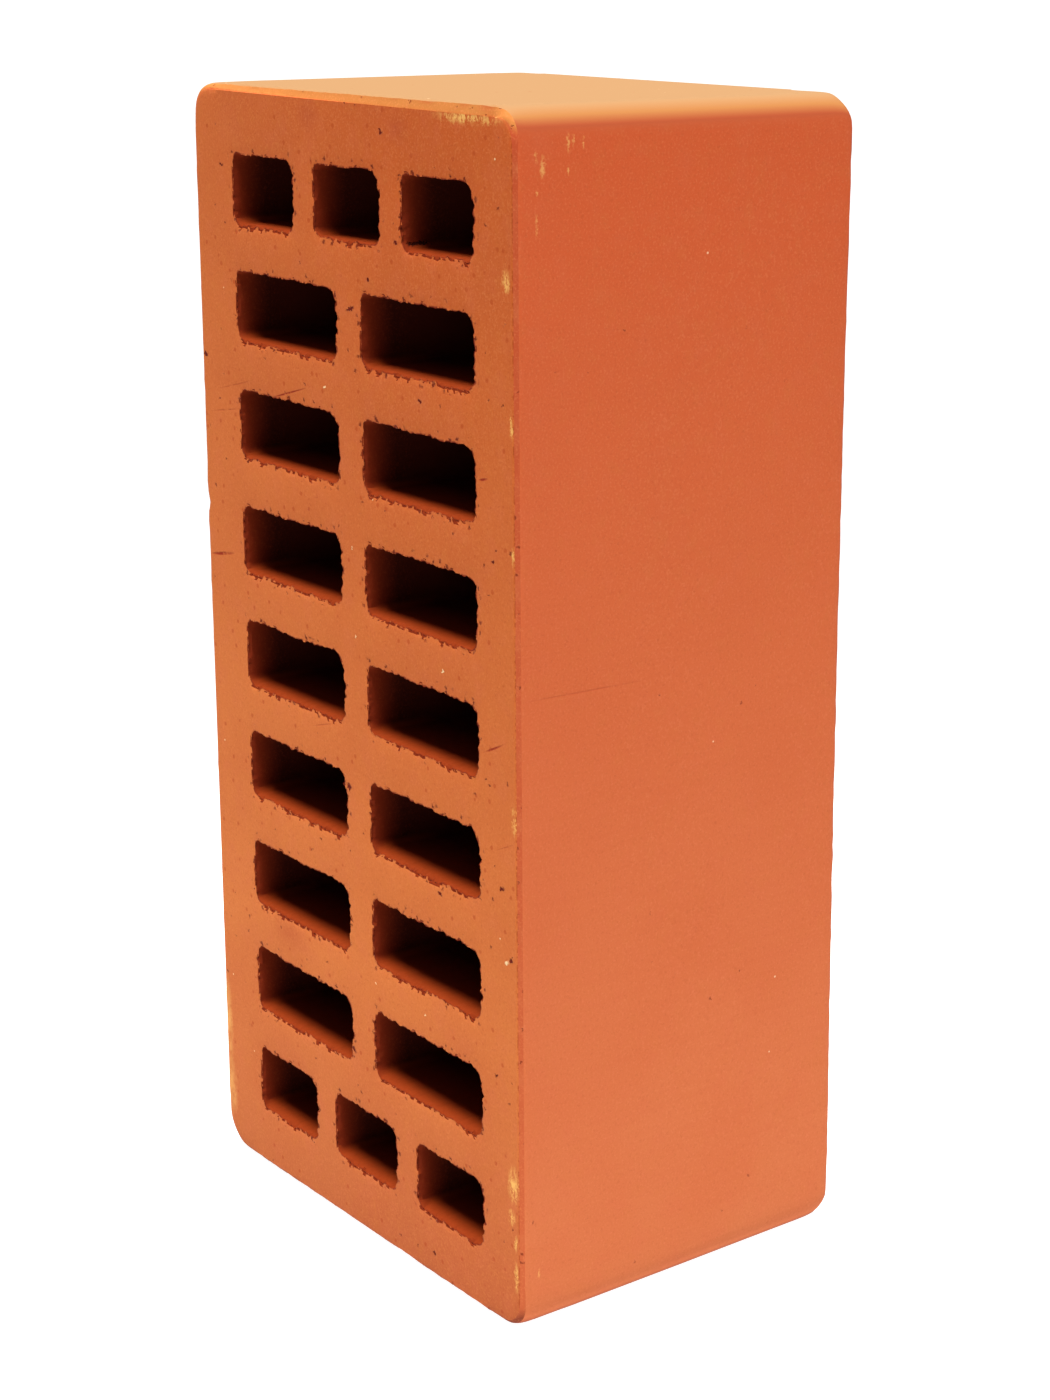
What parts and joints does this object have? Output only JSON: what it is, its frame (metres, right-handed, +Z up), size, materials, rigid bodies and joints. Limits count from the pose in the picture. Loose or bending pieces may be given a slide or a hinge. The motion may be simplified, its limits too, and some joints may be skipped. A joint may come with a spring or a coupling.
{
  "type": "perforated clay facing brick",
  "caption": "Thick fired-clay facing brick standing on its short end, with rounded long-edge corners and rectangular core holes right through its thickness.",
  "frame": {"origin": "middle of the short end that the brick stands on", "axes": "+Z up along the brick's length, X across its width, Y through its thickness along the core holes; -Y is the cut face that the holes show on"},
  "size_m": [0.12, 0.086, 0.25],
  "materials": {
    "fired_clay": "matt, finely sanded wire-cut clay"
  },
  "bodies": {
    "root": {"brick": "fired_clay"}
  },
  "joints": []
}
